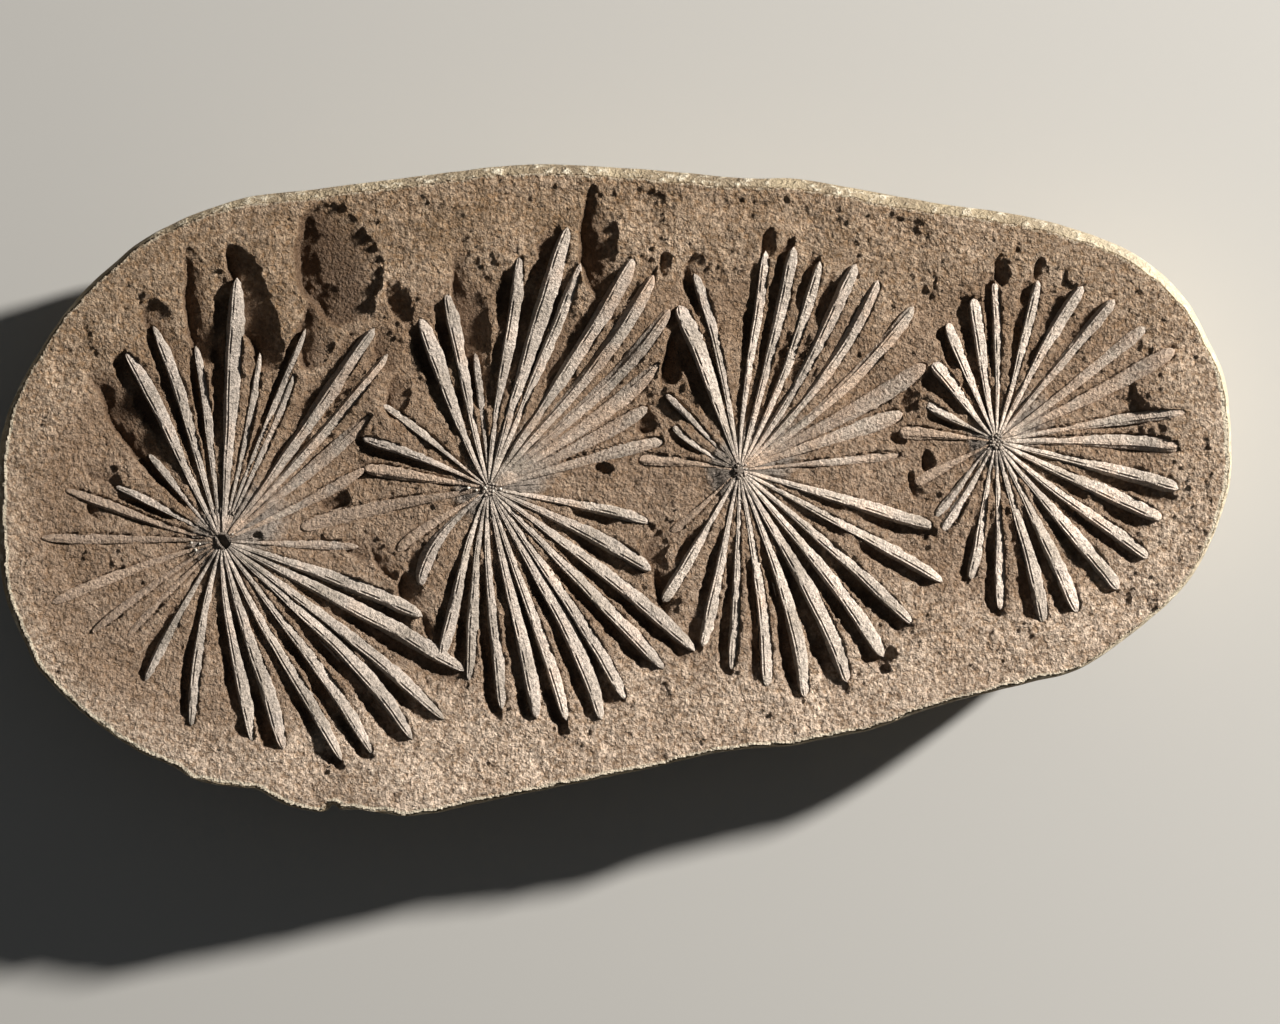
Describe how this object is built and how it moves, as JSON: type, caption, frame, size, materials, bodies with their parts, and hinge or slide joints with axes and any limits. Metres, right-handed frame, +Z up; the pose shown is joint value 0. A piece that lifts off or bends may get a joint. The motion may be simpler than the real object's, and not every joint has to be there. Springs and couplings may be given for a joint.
{
  "type": "fossil horsetail plate",
  "caption": "Oval half of a split stone nodule with a row of star-shaped whorls of narrow fossil horsetail leaves standing up on its face; it lies on its worn back.",
  "frame": {"origin": "under the middle of the plate's bounding box, on the surface that it lies on", "axes": "+X along the plate's length, towards its narrower end; +Y across it; +Z up, out of the split face with the leaves"},
  "size_m": [0.15, 0.0794, 0.0175],
  "materials": {
    "stone": "matt granular brown siltstone, smoother grey-brown leaves, paler rind round the edge"
  },
  "bodies": {
    "root": {"fossil_plate": "stone"}
  },
  "joints": []
}
